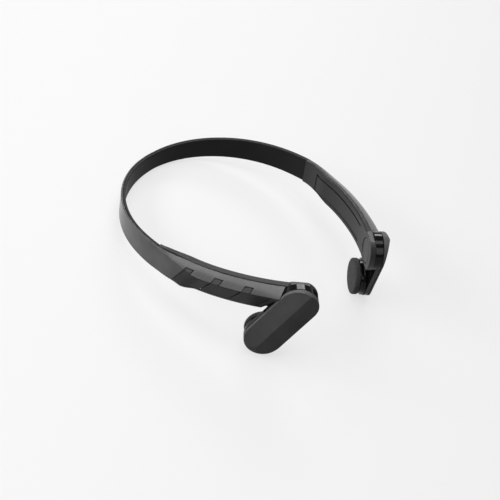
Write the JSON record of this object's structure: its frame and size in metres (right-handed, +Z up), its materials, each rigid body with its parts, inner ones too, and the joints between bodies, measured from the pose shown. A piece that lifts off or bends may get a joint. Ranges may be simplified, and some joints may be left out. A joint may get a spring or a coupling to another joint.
{
  "type": "bone conduction headphones",
  "caption": "Sprung neckband widening into two slim curved housings, each with a pivoting arm and a round contact pad; slanted control buttons along one lower edge.",
  "frame": {"origin": "middle of the bounding box's bottom face, on the surface the headphones stand on", "axes": "+Z up from that surface, -Y the way a wearer would look, +X the wearer's left. They stand on the ends of both arms and the neckband's lower edge, so as worn they lean 14 degrees."},
  "size_m": [0.1216, 0.1348, 0.0458],
  "materials": {
    "cover_plastic": "satin moulded",
    "shell_plastic": "fine matte texture",
    "band_silicone": "matte",
    "gloss_plastic": "polished",
    "pad_rubber": "matte",
    "steel": "bright",
    "spring_steel": "tempered",
    "magnet": "nickel plated",
    "copper": "enamelled copper wire",
    "gold": "gold plated",
    "board": "solder mask",
    "foil": "pouch foil",
    "flex": "polyimide film",
    "silicone": "soft",
    "nylon": "natural",
    "lead_insulation": "silicone insulation"
  },
  "bodies": {
    "headband": {"outer_cover": "cover_plastic", "band_inner_skin": "band_silicone", "band_spring": "spring_steel", "band_flex_cable": "flex", "left_inner_shell": "shell_plastic", "left_hinge_cap": "shell_plastic", "left_hinge_washer": "nylon", "right_inner_shell": "shell_plastic", "right_hinge_cap": "shell_plastic", "right_hinge_washer": "nylon", "battery_cell": "foil", "battery_board": "board", "switch_1": "steel", "switch_2": "steel", "switch_3": "steel", "button_membrane": "silicone", "switch_board": "board", "main_board": "board", "radio_module": "steel", "microphone": "gold", "charging_contact_rear": "gold", "charging_contact_front": "gold", "charging_magnet": "magnet"},
    "left_arm": {"left_arm_cover": "cover_plastic", "left_arm_body": "gloss_plastic", "left_hinge_spring": "spring_steel", "left_hinge_pin": "steel", "left_transducer_ring": "gloss_plastic", "left_transducer_yoke": "steel", "left_transducer_magnet": "magnet", "left_voice_coil": "copper", "left_spring_plate": "spring_steel", "left_contact_pad": "pad_rubber", "left_arm_lead": "lead_insulation"},
    "right_arm": {"right_arm_cover": "cover_plastic", "right_arm_body": "gloss_plastic", "right_hinge_spring": "spring_steel", "right_hinge_pin": "steel", "right_transducer_ring": "gloss_plastic", "right_transducer_yoke": "steel", "right_transducer_magnet": "magnet", "right_voice_coil": "copper", "right_spring_plate": "spring_steel", "right_contact_pad": "pad_rubber", "right_arm_lead": "lead_insulation"},
    "button_1": {"button_1": "gloss_plastic"},
    "button_2": {"button_2": "gloss_plastic"},
    "button_3": {"button_3": "gloss_plastic"}
  },
  "joints": [
    {"name": "left_arm_pivot", "type": "hinge", "parent": "headband", "child": "left_arm", "pos_m": [0.03173, -0.05881, 0.03522], "axis": [-0.7283, 0.662, -0.177], "range_deg": [-12.5, 65]},
    {"name": "right_arm_pivot", "type": "hinge", "parent": "headband", "child": "right_arm", "pos_m": [-0.03363, -0.05806, 0.03385], "axis": [-0.7501, -0.6451, 0.1459], "range_deg": [0, 77.5]},
    {"name": "button_1_press", "type": "slide", "parent": "headband", "child": "button_1", "axis": [0.8891, 0.3007, 0.3452], "range_m": [0, 0.0004], "stiffness_N_per_m": 2500, "springref_m": -0.0001},
    {"name": "button_2_press", "type": "slide", "parent": "headband", "child": "button_2", "axis": [0.8338, 0.4469, 0.3242], "range_m": [0, 0.0004], "stiffness_N_per_m": 2500, "springref_m": -0.0001},
    {"name": "button_3_press", "type": "slide", "parent": "headband", "child": "button_3", "axis": [0.7769, 0.5497, 0.3071], "range_m": [0, 0.0004], "stiffness_N_per_m": 2500, "springref_m": -0.0001}
  ]
}
